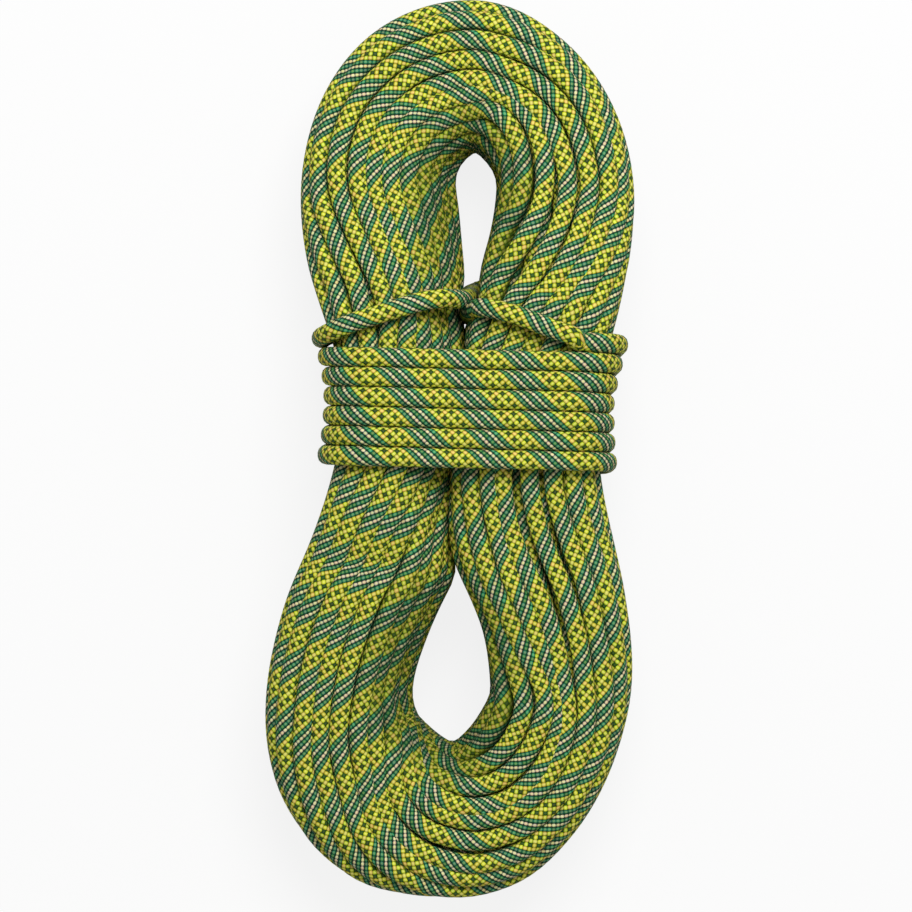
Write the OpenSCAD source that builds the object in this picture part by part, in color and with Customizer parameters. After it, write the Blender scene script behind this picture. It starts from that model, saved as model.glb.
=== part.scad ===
// Dynamic climbing rope in its factory hank.
// The hank lies flat: +Y runs along it, +Z points up, z = 0 is the surface that it lies on.
// The outer layer of laps is one unbroken tube over a plain core of packed inner laps. Seven turns
// bind the waist, and the standing end is locked twice through the upper eye.

/* [Rope] */
// Diameter of the rope over its sheath
rope_d = 9.8; // [8.5:0.1:10.5]
// Diameter of the bundle of core strands inside the sheath
core_d = 7.4; // [5.5:0.1:8]
// Diameter of one core strand
strand_d = 1.7; // [1.2:0.05:1.7]
// Room around each core strand
strand_gap = 0.05; // [0.02:0.01:0.1]
// Width of the marker tape that lies among the core strands
tape_w = 1; // [0.4:0.1:1.1]
// Thickness of the marker tape
tape_t = 0.15; // [0.1:0.05:0.3]

/* [Hank] */
// Length of the hank over both lobes
hank_l = 464; // [440:1:520]
// Width of the hank over its wider lower lobe
lower_w = 192; // [180:1:210]
// Width of the upper lobe
upper_w = 173; // [165:1:190]
// Middle of the upper lobe, to the right of the hank's middle line
upper_x = 9; // [0:0.5:14]
// Width of the bound neck, under the waist turns
neck_w = 131; // [126:1:138]
// Middle of the neck, to the right of the hank's middle line
neck_x = 10; // [0:0.5:14]
// Middle of the neck along the hank
neck_y = 26; // [16:1:36]
// Where the upper lobe is widest, from the hank's middle
upper_y = 127; // [118:1:136]
// Where the lower lobe is widest, from the hank's middle
lower_y = -120; // [-128:1:-112]
// Laps in the outer layer
laps = 23; // [20:1:24]
// Clear gap between neighbouring laps and turns
lap_gap = 0.9; // [0.6:0.05:1.2]
// Corner radius of the bundle's section, to the middle of the outer laps
bundle_r = 17; // [14:0.5:22]
// Spread of the laps onto the outer side in the lobes, as a length along the section
lap_shift = 12; // [0:0.5:14]

/* [Eyes] */
// Width of the eye in the upper lobe
upper_eye_w = 22; // [20:0.5:28]
// Far end of the upper eye, from the hank's middle
upper_eye_top = 156; // [150:1:162]
// Where the upper eye is widest, from the hank's middle
upper_eye_y = 137; // [130:1:142]
// Middle of the upper eye, to the right of the hank's middle line
upper_eye_x = 14; // [10:0.5:16]
// Width of the eye in the lower lobe
lower_eye_w = 41; // [30:0.5:44]
// Far end of the lower eye, from the hank's middle
lower_eye_end = -153; // [-158:1:-146]
// Where the lower eye is widest, from the hank's middle
lower_eye_y = -125; // [-130:1:-118]
// Middle of the lower eye, to the right of the hank's middle line
lower_eye_x = 1; // [-4:0.5:6]
// Gap between the two bundles where the neck presses them together
seam_gap = 0.8; // [0.5:0.1:1.5]

/* [Waist turns] */
// Full turns around the waist
waist_turns = 6; // [5:1:6]
// Middle of the waist turns along the hank
waist_y = 23; // [21:0.5:25]
// Height of the free space under the neck, above the rope's own diameter
under_gap = 1.2; // [1:0.1:2]
// Middle distance between a waist turn and the laps that it crosses
cross_d = 9.6; // [9:0.1:10.5]

/* [Rope ends] */
// Outside diameter of the shrunk end sleeve
sleeve_d = 10.5; // [10.4:0.1:10.6]
// Length of the end sleeve
sleeve_l = 30; // [20:1:34]
// Gap between the sleeve and the sheath
sleeve_gap = 0.1; // [0.05:0.01:0.12]
// Length of the fused seal at each end
seal_l = 3; // [2:0.5:5]
// Rope left at the inner end, from the first lap to the seal
inner_tail_l = 42; // [38:1:45]
// Rope left at the standing end, from the last tuck to the seal
outer_tail_l = 44; // [40:1:50]

/* [Hidden] */

// Sides of a wound tube, and rings in a lap: runs of three steps, bows of six
tube_sides = 6;
free_sides = 8;
run_steps = 3;
bow_steps = 6;
lap_rings = 4 * run_steps + 2 * bow_steps;
// Depth to which the lowest laps are cut flat, where the hank lies on them
flat_cut = rope_d / 10;
half_rope = rope_d / 2;
// Reach of a tube's flats from its middle line
flat_reach = half_rope * cos(180 / tube_sides);
// Height of the bundle's underside above the surface, along the neck
neck_lift = rope_d + under_gap;
// Gap between the end sleeve and the core of the hank above it
core_gap = 0.3;

// Length around the section, to the middle of the outer laps: the same all along the hank
section_round = laps * (rope_d + lap_gap);
// Width plus height of that section
section_sum = section_round / 2 + (4 - PI) * bundle_r;

function unit(v) = v / norm(v);
function flat3(v, z) = [v[0], v[1], z];
function smooth(s) = s * s * (3 - 2 * s);
function cross_plan(v) = [-v[1], v[0]];

// ---- Plan of the hank: outer and inner edge of the bundle at station j of a lap ----
// Stations: 0 neck, right bundle; 3 upper lobe, right; 9 upper lobe, left; 12 neck, left bundle;
// 15 lower lobe, left; 21 lower lobe, right.
bow_end = run_steps + bow_steps;
neck_left = lap_rings / 2;

function wrap_station(j) = j - lap_rings * floor(j / lap_rings);
// Steps away from the nearest neck, 0 to 6
function steps_out(j) = let (k = j % neck_left) min(k, neck_left - k);

function lobe_half(up) = (up ? upper_w : lower_w) / 2;
function lobe_x(up) = up ? upper_x : 0;
function widest_y(up, outer) = outer ? (up ? upper_y : lower_y) : (up ? upper_eye_y : lower_eye_y);
function lobe_tip(up) = (up ? hank_l : -hank_l) / 2;
function eye_half(up) = (up ? upper_eye_w : lower_eye_w) / 2;
function eye_x(up) = up ? upper_eye_x : lower_eye_x;
function eye_tip(up) = up ? upper_eye_top : lower_eye_end;
function run_power(up) = up ? 1.2 : 2;
function eye_power(up) = up ? 1.6 : 1.8;

function neck_edge(side, outer) = outer ? neck_x + side * neck_w / 2 : neck_x + side * seam_gap / 2;
function lobe_edge(up, side, outer) =
    outer ? lobe_x(up) + side * lobe_half(up) : eye_x(up) + side * eye_half(up);

function run_point(up, side, s, outer) = let (
    p = outer ? run_power(up) : eye_power(up),
    e = pow(sin(90 * s), p),
    y = neck_y + s * (widest_y(up, outer) - neck_y)
) [neck_edge(side, outer) + e * (lobe_edge(up, side, outer) - neck_edge(side, outer)), y];

function bow_point(up, a, outer) = let (
    mid_x = outer ? lobe_x(up) : eye_x(up),
    half = outer ? lobe_half(up) : eye_half(up),
    tip = outer ? lobe_tip(up) : eye_tip(up),
    wide = widest_y(up, outer)
) [mid_x + half * cos(a), wide + (tip - wide) * sin(a)];

// k runs from the right neck (0) over the lobe to the left neck (12)
function half_lap_point(up, k, outer) =
    k <= run_steps ? run_point(up, 1, k / run_steps, outer)
    : k >= bow_end ? run_point(up, -1, (neck_left - k) / run_steps, outer)
    : bow_point(up, (k - run_steps) * 180 / bow_steps, outer);
function edge_point(j, outer) = let (m = wrap_station(j))
    m <= neck_left ? half_lap_point(true, m, outer) : half_lap_point(false, lap_rings - m, outer);

OUTER = [for (j = [0:lap_rings - 1]) edge_point(j, true)];
INNER = [for (j = [0:lap_rings - 1]) edge_point(j, false)];
function across_point(j, f) = let (m = wrap_station(j)) INNER[m] + f * (OUTER[m] - INNER[m]);
// How far one whole step across reaches, square to the laps on either side of a station
function square_reach(j, f) = let (
    a = OUTER[j] - INNER[j],
    p = across_point(j, f),
    back = unit(p - across_point(j - 1, f)),
    on = unit(across_point(j + 1, f) - p)
) min(abs(cross_plan(back) * a), abs(cross_plan(on) * a));
across_steps = 8;
// Distance across the bundle, square to the laps, against the share of the way across
function across_table(j) = [
    for (
        k = 0, d = 0, r = square_reach(j, 0);
        k <= across_steps;
        n = square_reach(j, (k + 1) / across_steps), d = d + (r + n) / 2 / across_steps, r = n, k = k + 1
    ) [d, k / across_steps]
];
ACROSS = [for (j = [0:lap_rings - 1]) across_table(j)];
WIDTH = [for (t = ACROSS) t[across_steps][0]];
// Section to the middle of the outer laps: width, height, and height of its lowest laps
SPAN = [for (w = WIDTH) w - rope_d];
RISE = [for (w = SPAN) section_sum - w];
// Share of the neck's height kept at each step away from it: the bundles sink to the surface in the lobes
LIFT_SHARE = [1, 1, 1, 0.45, 0.15, 0, 0];
BASE = [
    for (j = [0:lap_rings - 1]) half_rope - flat_cut + (neck_lift + flat_cut) * LIFT_SHARE[steps_out(j)]
];

// ---- Section of the bundle: a rounded rectangle, walked from the middle of its inner side, over
// the top, down the outer side and back below. Gives [across, up, normal across, normal up].
function corner(c, r, a) = [c[0] + r * cos(a), c[1] + r * sin(a), cos(a), sin(a)];
function section_at(w, h, r, s) = let (
    side = h - 2 * r,
    top = w - 2 * r,
    arc = PI * r / 2,
    whole = 2 * side + 2 * top + 4 * arc,
    q = s + side / 2,
    p = q - whole * floor(q / whole),
    a = 90 / arc
)
    p < side ? [0, r + p, -1, 0]
    : p < side + arc ? corner([r, h - r], r, 180 - (p - side) * a)
    : p < side + arc + top ? [r + p - side - arc, h, 0, 1]
    : p < side + 2 * arc + top ? corner([w - r, h - r], r, 90 - (p - side - arc - top) * a)
    : p < 2 * side + 2 * arc + top ? [w, h - r - (p - side - 2 * arc - top), 1, 0]
    : p < 2 * side + 3 * arc + top ? corner([w - r, r], r, -(p - 2 * side - 2 * arc - top) * a)
    : p < 2 * side + 3 * arc + 2 * top ? [w - r - (p - 2 * side - 3 * arc - top), 0, 0, -1]
    : corner([r, r], r, -90 - (p - 2 * side - 3 * arc - 2 * top) * a);

// A point of the section in space, with its outward normal
function place(j, cut) = let (
    m = wrap_station(j),
    across = OUTER[m] - INNER[m],
    p = INNER[m] + across * lookup(half_rope + cut[0], ACROSS[m]),
    n = flat3(unit(across) * cut[2], cut[3])
) [flat3(p, BASE[m] + cut[1]), n];

// ---- Outer laps ----
first_station = neck_left + 2;
last_station = lap_rings - 2;
loop_steps = (laps - 1) * lap_rings + last_station - first_station;
// The first lap starts in the middle of the bundle's underside
start_s = section_round * 3 / 4;
function spread(j) = lap_shift * smooth(min(steps_out(wrap_station(j)) / run_steps, 1));
function lap_place(i) = let (j = first_station + i, m = wrap_station(j))
    place(j, section_at(SPAN[m], RISE[m], bundle_r, start_s - i * section_round / laps / lap_rings + spread(j)));
LAP_PLACES = [for (i = [-1:loop_steps + 1]) lap_place(i)];
LAP_PATH = [for (i = [1:loop_steps + 1]) LAP_PLACES[i][0]];
LAP_OUT = [for (i = [1:loop_steps + 1]) LAP_PLACES[i][1]];
// The free slot of the underside, one step before the first lap and one after the last
inner_tail_dir = unit(LAP_PLACES[0][0] - LAP_PATH[0]);
lead_dir = unit(LAP_PLACES[loop_steps + 2][0] - LAP_PATH[loop_steps]);

// Directions along a path, with the two ends given
function directions(path, start, end) = let (n = len(path)) [
    for (i = [0:n - 1])
        i == 0 ? start
        : i == n - 1 ? end
        : unit(unit(path[i + 1] - path[i]) + unit(path[i] - path[i - 1]))
];

// One closed tube: rings square to the path, with a flat towards each outward normal
module tube(path, dirs, outs, sides, lowest) {
    n = len(path);
    rings = [
        for (i = [0:n - 1]) let (
            t = dirs[i],
            u = unit(outs[i] - t * (outs[i] * t)),
            v = cross(t, u)
        )
            for (k = [0:sides - 1]) let (
                a = (k + 0.5) * 360 / sides,
                p = path[i] + half_rope * (cos(a) * u + sin(a) * v)
            ) [p[0], p[1], max(p[2], lowest)]
    ];
    walls = [
        for (i = [0:n - 2], k = [0:sides - 1]) let (
            a = i * sides + k,
            b = i * sides + (k + 1) % sides
        ) each [[a, b + sides, b], [a, a + sides, b + sides]]
    ];
    caps = [
        for (k = [1:sides - 2]) each [[0, k, k + 1], [(n - 1) * sides, (n - 1) * sides + k + 1, (n - 1) * sides + k]]
    ];
    polyhedron(points = rings, faces = concat(walls, caps));
}

module hank_loops() {
    color("yellowgreen")
        tube(LAP_PATH, directions(LAP_PATH, -inner_tail_dir, lead_dir), LAP_OUT, tube_sides, 0);
}

// ---- Core of packed inner laps ----
core_in = sleeve_d / 2 + core_gap;
core_corner = bundle_r - core_in;
// Two rings' points at each corner of the section
core_sides = 8;
module hank_core() {
    rings = [
        for (j = [0:lap_rings - 1], k = [0:core_sides - 1]) let (
            w = SPAN[j] - 2 * core_in,
            h = RISE[j] - 2 * core_in,
            side = h - 2 * core_corner,
            top = w - 2 * core_corner,
            quarter = floor(k / 2),
            a = 180 - quarter * 90 - (k % 2) * 90,
            c = [
                quarter == 0 || quarter == 3 ? core_corner : w - core_corner,
                quarter < 2 ? h - core_corner : core_corner
            ],
            cut = corner(c, core_corner, a) + [core_in, core_in, 0, 0]
        ) place(j, cut)[0]
    ];
    walls = [
        for (j = [0:lap_rings - 1], k = [0:core_sides - 1]) let (
            i = (j + 1) % lap_rings,
            a = j * core_sides + k,
            b = j * core_sides + (k + 1) % core_sides,
            c = i * core_sides + k,
            d = i * core_sides + (k + 1) % core_sides
        ) each [[a, d, b], [a, c, d]]
    ];
    color("olivedrab") polyhedron(points = rings, faces = walls);
}

// ---- Turns around the waist ----
// Edges and levels of the bundles at a place y along the neck, to the middle of the outer laps
neck_reach = run_steps - 1;
function along_neck(left, values) = [
    for (k = [-neck_reach:neck_reach]) let (j = left ? neck_left - k : wrap_station(k))
        [OUTER[j][1], values[j]]
];
OUTER_X = [for (p = OUTER) p[0]];
TOPS = BASE + RISE;
RIGHT_X = along_neck(false, OUTER_X);
LEFT_X = along_neck(true, OUTER_X);
RIGHT_TOP = along_neck(false, TOPS);
LEFT_TOP = along_neck(true, TOPS);
turn_pitch = rope_d + lap_gap;
turn_r = bundle_r + cross_d;
turn_bottom = half_rope + neck_lift - cross_d;
neck_top = max(TOPS[0], TOPS[neck_left]);
// Way round one turn at the middle of the neck
turn_flat = neck_w - rope_d - 2 * bundle_r;
turn_side = neck_top - half_rope - neck_lift - 2 * bundle_r;
turn_arc = PI * turn_r / 2;
turn_round = 2 * (turn_flat + turn_side) + 4 * turn_arc;
arc_steps = 4;
// Rings lie outside the arc, so that the straight sides between them touch it
ring_r = turn_r / cos(45 / arc_steps);
// Rings of a turn as [corner, angle, way so far]: up the right side, back over the top, down the left
function arc_rings(corner_no, from, way) = [
    for (k = [0:arc_steps - 1]) let (share = (k + 0.5) / arc_steps)
        [corner_no, from + 90 * share, way + turn_arc * share]
];
TURN = concat(
    arc_rings(0, -90, 0),
    arc_rings(1, 0, turn_arc + turn_side),
    [[4, 0, 2 * turn_arc + turn_side + turn_flat / 2]],
    arc_rings(2, 90, 2 * turn_arc + turn_side + turn_flat),
    arc_rings(3, 180, 3 * turn_arc + 2 * turn_side + turn_flat),
    [[5, 0, 4 * turn_arc + 2 * turn_side + 1.5 * turn_flat]]
);
first_turn_y = waist_y - turn_pitch * waist_turns / 2 - turn_pitch * (turn_arc + turn_side / 2) / turn_round;
function turn_y(way) = first_turn_y + turn_pitch * way / turn_round;
function turn_point(ring, y) = let (
    left = lookup(y, LEFT_X) + half_rope + bundle_r,
    right = lookup(y, RIGHT_X) - half_rope - bundle_r,
    low = turn_bottom + turn_r,
    top_right = lookup(y, RIGHT_TOP) - bundle_r,
    top_left = lookup(y, LEFT_TOP) - bundle_r,
    c = ring[0] == 0 ? [right, low] : ring[0] == 1 ? [right, top_right]
        : ring[0] == 2 ? [left, top_left] : ring[0] == 3 ? [left, low]
        : [(left + right) / 2, ring[0] == 4 ? (top_left + top_right) / 2 : low],
    a = ring[0] == 4 ? 90 : ring[0] == 5 ? -90 : ring[1],
    r = ring[0] < 4 ? ring_r : turn_r
) [c[0] + r * cos(a), y, c[1] + r * sin(a)];
function turn_out(ring) = let (a = ring[0] == 4 ? 90 : ring[0] == 5 ? -90 : ring[1]) [cos(a), 0, sin(a)];
half_turn_rings = 2 * arc_steps - 1;
TURN_RINGS = concat(
    [for (n = [0:waist_turns - 1]) each [for (r = TURN) [r, turn_y(r[2] + n * turn_round)]]],
    [for (k = [0:half_turn_rings]) [TURN[k], turn_y(TURN[k][2] + waist_turns * turn_round)]]
);
turn_first = turn_point(TURN_RINGS[0][0], TURN_RINGS[0][1]);
turn_last = turn_point(TURN_RINGS[len(TURN_RINGS) - 1][0], TURN_RINGS[len(TURN_RINGS) - 1][1]);
turn_start = turn_first - [rope_d, 0, 0];
turn_end = turn_last - [rope_d, 0, 0];
TURN_PATH = concat([turn_start], [for (r = TURN_RINGS) turn_point(r[0], r[1])], [turn_end]);
TURN_OUT = concat([[0, 0, -1]], [for (r = TURN_RINGS) turn_out(r[0])], [[0, 0, 1]]);

module waist_wrap() {
    color("yellowgreen")
        tube(TURN_PATH, directions(TURN_PATH, [1, 0, 0], [-1, 0, 0]), TURN_OUT, tube_sides, 0);
}

// ---- Free stretches: their points lie where the rope runs ----
outer_tail_at = [46, 87, 5.7];
outer_tail_dir = [1, 0, 0];
LEAD_IN = concat(
    [LAP_PATH[loop_steps], LAP_PATH[loop_steps] + lead_dir * rope_d],
    [[39, -52, 11], [32.5, -43, 7], [30, -34, 6.3], [31.5, -25, 6.3], [36, -17.5, 6.3]],
    [turn_start]
);
LOCK_TUCK = concat(
    [turn_end],
    [
        [41, 62, 105.2], [32, 65.5, 104.2], [23.5, 68.5, 100.5], [16, 70.5, 92.5], [12.2, 71.5, 81.5],
        [11.7, 72, 62], [11.7, 72, 42], [10.8, 72, 26], [4.5, 72, 13.5], [-8, 71.5, 6.6],
        [-26, 70, 5.8], [-42, 67.5, 6], [-50, 65.8, 6.8], [-57.8, 64.2, 9.7], [-64.6, 62.4, 16],
        [-69.2, 61.2, 24.5], [-70.4, 60.5, 36], [-70.4, 60, 55], [-70.2, 60, 74], [-68, 60.5, 87],
        [-60.5, 62.5, 96.7], [-50, 65.5, 101], [-38, 69.5, 101.5], [-26, 74, 100.8], [-15, 78, 99],
        [-5.5, 81, 95.6], [3, 83, 89.8], [8.5, 84, 81.5], [11, 84.5, 70], [12.2, 84.5, 52],
        [13, 84.5, 36], [16.6, 85, 22.5], [24.3, 86, 12], [35, 86.8, 6.8]
    ],
    [outer_tail_at]
);

// Normals carried along a path without twist
function carry(path, dirs, start) = [
    for (i = 0, n = start; i < len(path); i = i + 1, n = i < len(path) ? unit(n - dirs[i] * (n * dirs[i])) : n) n
];
module free_stretch(path, start, end, out) {
    dirs = directions(path, start, end);
    tube(path, dirs, carry(path, dirs, out), free_sides, 0);
}
module lead_in() {
    color("yellowgreen") free_stretch(LEAD_IN, lead_dir, [1, 0, 0], [0, 0, -1]);
}
module lock_tuck() {
    color("yellowgreen") free_stretch(LOCK_TUCK, [-1, 0, 0], outer_tail_dir, [0, 0, 1]);
}

// ---- Rope ends: sheath, core strands, marker tape, fused seal and blank sleeve ----
inner_strands = 3;
outer_strands = 9;
strands = inner_strands + outer_strands;
inner_strand_r = (strand_d + strand_gap) / 2 / sin(180 / inner_strands);
outer_strand_r = core_d / 2 - strand_d / 2 - strand_gap;
tape_x = inner_strand_r * cos(180 / inner_strands) + strand_d / 2 + strand_gap + tape_t / 2;

// Lays a rope end that is made along +Z on its place: x runs along the given direction
module lay_end(at, dir) {
    translate(at) rotate([0, 0, atan2(dir[1], dir[0])]) rotate([0, 90, 0]) children();
}
module on_inner_end() { lay_end(LAP_PATH[0], inner_tail_dir) children(); }
module on_outer_end() { lay_end(outer_tail_at, outer_tail_dir) children(); }

module end_sheath(l) {
    color("yellowgreen") difference() {
        cylinder(h = l - seal_l, d = rope_d, $fn = 48);
        translate([0, 0, -1]) cylinder(h = l, d = core_d, $fn = 48);
    }
}
module end_strand(l, i) {
    inner = i <= inner_strands;
    a = inner ? (i - 1) * 360 / inner_strands : (i - inner_strands - 1) * 360 / outer_strands;
    color("white") rotate(a) translate([inner ? inner_strand_r : outer_strand_r, 0, 0])
        cylinder(h = l - seal_l, d = strand_d, $fn = 24);
}
module end_marker_tape(l) {
    color("gold") rotate(180 / inner_strands) translate([tape_x - tape_t / 2, -tape_w / 2, 0])
        cube([tape_t, tape_w, l - seal_l]);
}
seal_round = 1;
module end_seal(l) {
    color("darkolivegreen") translate([0, 0, l - seal_l]) rotate_extrude($fn = 48) {
        square([half_rope - seal_round, seal_l]);
        square([half_rope, seal_l - seal_round]);
        translate([half_rope - seal_round, seal_l - seal_round]) intersection() {
            circle(seal_round, $fn = 32);
            square(seal_round);
        }
    }
}
module end_sleeve(l) {
    color("whitesmoke") translate([0, 0, l - seal_l - sleeve_l]) difference() {
        cylinder(h = sleeve_l, d = sleeve_d, $fn = 48);
        translate([0, 0, -1]) cylinder(h = sleeve_l + 2, d = rope_d + 2 * sleeve_gap, $fn = 48);
    }
}

hank_core();
hank_loops();
lead_in();
waist_wrap();
lock_tuck();
on_inner_end() end_sheath(inner_tail_l);  // inner_end_sheath
on_inner_end() end_marker_tape(inner_tail_l);  // inner_end_marker_tape
on_inner_end() end_seal(inner_tail_l);  // inner_end_seal
on_inner_end() end_sleeve(inner_tail_l);  // inner_end_sleeve
on_outer_end() end_sheath(outer_tail_l);  // outer_end_sheath
on_outer_end() end_marker_tape(outer_tail_l);  // outer_end_marker_tape
on_outer_end() end_seal(outer_tail_l);  // outer_end_seal
on_outer_end() end_sleeve(outer_tail_l);  // outer_end_sleeve
for (i = [1:strands]) {
    on_inner_end() end_strand(inner_tail_l, i);
    on_outer_end() end_strand(outer_tail_l, i);
}

function least_gap(path, skip) = min([
    for (i = [0:len(path) - 1], k = [i + skip:1:len(path) - 1]) norm(path[i] - path[k])
]) - rope_d;
echo(least_gap_between_laps = least_gap(LAP_PATH, lap_rings / 2));
echo(least_gap_between_turns = least_gap(TURN_PATH, len(TURN) / 2));
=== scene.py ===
"""A dynamic climbing rope in its factory hank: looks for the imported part, in metres."""
import math

import bmesh
import bpy
import numpy as np
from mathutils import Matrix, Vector


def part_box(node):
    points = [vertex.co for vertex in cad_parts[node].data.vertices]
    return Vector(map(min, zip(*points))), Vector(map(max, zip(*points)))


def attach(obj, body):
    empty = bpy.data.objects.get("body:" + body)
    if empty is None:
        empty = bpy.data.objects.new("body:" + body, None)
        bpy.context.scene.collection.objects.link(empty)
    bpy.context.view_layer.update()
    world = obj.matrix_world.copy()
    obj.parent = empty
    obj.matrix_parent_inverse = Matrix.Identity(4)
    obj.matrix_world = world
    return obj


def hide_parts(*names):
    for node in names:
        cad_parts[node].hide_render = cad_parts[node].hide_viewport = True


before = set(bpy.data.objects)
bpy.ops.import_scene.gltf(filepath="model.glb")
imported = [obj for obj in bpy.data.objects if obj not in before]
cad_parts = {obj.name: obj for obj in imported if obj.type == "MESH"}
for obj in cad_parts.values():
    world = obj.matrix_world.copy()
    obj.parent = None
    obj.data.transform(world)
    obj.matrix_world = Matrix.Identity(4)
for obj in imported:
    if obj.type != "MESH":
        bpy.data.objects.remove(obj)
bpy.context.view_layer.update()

bl_info = {
    "name": "Climbing Rope Hank",
    "version": (1, 0, 0),
    "blender": (4, 5, 0),
    "location": "View3D > Sidebar > Rope Hank",
    "description": "Winds a braided climbing rope into its hank and dresses the rope ends",
    "category": "Add Mesh",
}

MM = 0.001
# How the names of the rope ends' nodes start
INNER_END, OUTER_END = ENDS = ("inner_end_", "outer_end_")


def linear(red, green, blue):
    """An sRGB colour, 0 to 255, as Blender's linear colour."""
    def one(c):
        c /= 255
        return c / 12.92 if c <= 0.04045 else ((c + 0.055) / 1.055) ** 2.4
    return one(red), one(green), one(blue)


# ---- What a user may change ----

def distance(name, about, value):
    """A length that the user gives in metres and that is written here in millimetres."""
    return bpy.props.FloatProperty(
        name=name, description=about, default=value * MM, unit="LENGTH", precision=5)


def colour(name, about, *rgb):
    """A colour, written here in sRGB from 0 to 255."""
    return bpy.props.FloatVectorProperty(
        name=name, description=about, default=linear(*rgb), subtype="COLOR", min=0, max=1)


class RopeSizes(bpy.types.PropertyGroup):
    """Sizes of the rope, the hank and its waist turns"""
    rope_d: distance("Rope diameter", "Diameter of the rope over its sheath", 9.8)
    hank_l: distance("Hank length", "Length of the hank over both lobes", 464)
    lower_w: distance("Lower lobe", "Width of the hank over its lower lobe", 192)
    upper_w: distance("Upper lobe", "Width of the hank over its upper lobe", 173)
    upper_x: distance("Upper lobe's middle", "Distance to the right of the middle line", 9)
    neck_w: distance("Neck", "Width of the bound neck", 131)
    neck_x: distance("Neck's middle", "Distance to the right of the middle line", 10)
    neck_y: distance("Neck's place", "Middle of the neck along the hank", 26)
    upper_y: distance("Upper lobe's place", "Where the upper lobe is widest", 127)
    lower_y: distance("Lower lobe's place", "Where the lower lobe is widest", -120)
    upper_eye_w: distance("Upper eye", "Width of the eye in the upper lobe", 22)
    upper_eye_top: distance("Upper eye's end", "Far end of the upper eye", 156)
    upper_eye_y: distance("Upper eye's place", "Where the upper eye is widest", 137)
    upper_eye_x: distance("Upper eye's middle", "Distance to the right of the middle line", 14)
    lower_eye_w: distance("Lower eye", "Width of the eye in the lower lobe", 41)
    lower_eye_end: distance("Lower eye's end", "Far end of the lower eye", -153)
    lower_eye_y: distance("Lower eye's place", "Where the lower eye is widest", -125)
    lower_eye_x: distance("Lower eye's middle", "Distance to the right of the middle line", 1)
    section_round: distance("Section", "Length around a bundle, to the middle of its outer laps", 246.1)
    laps: bpy.props.IntProperty(
        name="Outer laps", description="Laps in the outer layer", default=25, min=20, max=27)
    roll: bpy.props.IntProperty(
        name="Roll", description="Places that a lap moves on around the bundle", default=9, min=1, max=12)
    waist_y: distance("Waist's place", "Middle of the waist turns along the hank", 23)
    turn_pitch: distance("Turn pitch", "Distance from one waist turn to the next", 10.05)
    under_gap: distance("Space below", "Free space under the neck above the rope's diameter", 1.2)
    cross_d: distance("Turn above lap", "Middle distance of a waist turn and the laps under it", 9.4)
    rope_length: bpy.props.FloatProperty(
        name="Rope length", description="Real length of the whole rope", default=60, unit="LENGTH")


class SheathColours(bpy.types.PropertyGroup):
    """Colours of the yarns, of the painted shade and highlight on them, and of the rope ends"""
    yellow: colour("Yellow yarn", "Main yarn of the field", 182, 194, 22)
    gold: colour("Orange yarn", "Tinted yarn of the field", 204, 178, 80)
    dot: colour("Dot yarn", "Dark dots of the field", 14, 66, 22)
    green: colour("Green yarn", "Dark rows of the band", 42, 132, 94)
    tan: colour("Tan yarn", "Pale rows between the dark ones", 206, 198, 164)
    groove: colour("Grooves", "Shade between the yarns of the field", 54, 78, 8)
    shade: colour("Band grooves", "Shade between the yarns of the band", 14, 54, 28)
    # Painted highlight: the pale crown colour stands in for the light's sheen on the crown of each yarn
    crown_highlight: colour("Crowns", "Pale fibres on the crown of a yarn", 255, 252, 140)
    seal: colour("Fused seal", "Molten and set end of the rope", 52, 58, 24)
    sleeve: colour("End sleeve", "Shrunk sleeve around the rope end", 226, 226, 220)
    core: colour("Core yarn", "Core strands inside the sheath", 236, 234, 224)
    tape: colour("Marker tape", "Tape that lies among the core strands", 214, 182, 58)


# ---- Shader maths ----

def maths(operation, swapped=False):
    """A method that adds a Math node for two values, which change places where swapped is true."""
    def method(value, other):
        return value.math(operation, *((other, value) if swapped else (value, other)))
    return method


class Value:
    """A socket that takes part in sums."""
    __add__, __radd__ = maths("ADD"), maths("ADD", True)
    __sub__, __rsub__ = maths("SUBTRACT"), maths("SUBTRACT", True)
    __mul__, __rmul__ = maths("MULTIPLY"), maths("MULTIPLY", True)
    __truediv__, __mod__, __lt__ = maths("DIVIDE"), maths("FLOORED_MODULO"), maths("LESS_THAN")

    def __init__(self, tree, socket):
        self.tree, self.socket = tree, socket

    def node(self, kind, settings=None, inputs=None, out=0):
        """Adds a node of a kind: its settings first, then its sockets' values or links."""
        made = self.tree.nodes.new(kind)
        for key, value in (settings or {}).items():
            setattr(made, key, value)
        for key, value in (inputs or {}).items():
            if isinstance(value, Value):
                self.tree.links.new(value.socket, made.inputs[key])
            else:
                made.inputs[key].default_value = value
        return Value(self.tree, made.outputs[out])

    def math(self, operation, *values):
        """A Math node on these values, or on this one alone."""
        return self.node("ShaderNodeMath", {"operation": operation}, dict(enumerate(values or (self,))))

    def __abs__(self):
        return self.math("ABSOLUTE")

    def parts(self):
        """The x, y and z of a vector."""
        split = self.node("ShaderNodeSeparateXYZ", inputs={0: self})
        return [Value(self.tree, socket) for socket in split.socket.node.outputs]

    def step(self, low, high, start=0.0, end=1.0):
        """A soft step: start where this value is under low, and end where it is over high."""
        return self.node("ShaderNodeMapRange", {"interpolation_type": "SMOOTHSTEP"}, {
            "Value": self, "From Min": low, "From Max": high, "To Min": start, "To Max": end})

    def mix(self, low, high):
        """A colour between low and high, with this value as the factor."""
        low, high = (end if isinstance(end, Value) else (*end, 1) for end in (low, high))
        return self.node("ShaderNodeMix", {"data_type": "RGBA"}, {0: self, 6: low, 7: high}, out=2)

    def feed(self, shader, name):
        """Links this value to a socket of the shader."""
        self.tree.links.new(self.socket, shader.inputs[name])


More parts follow.
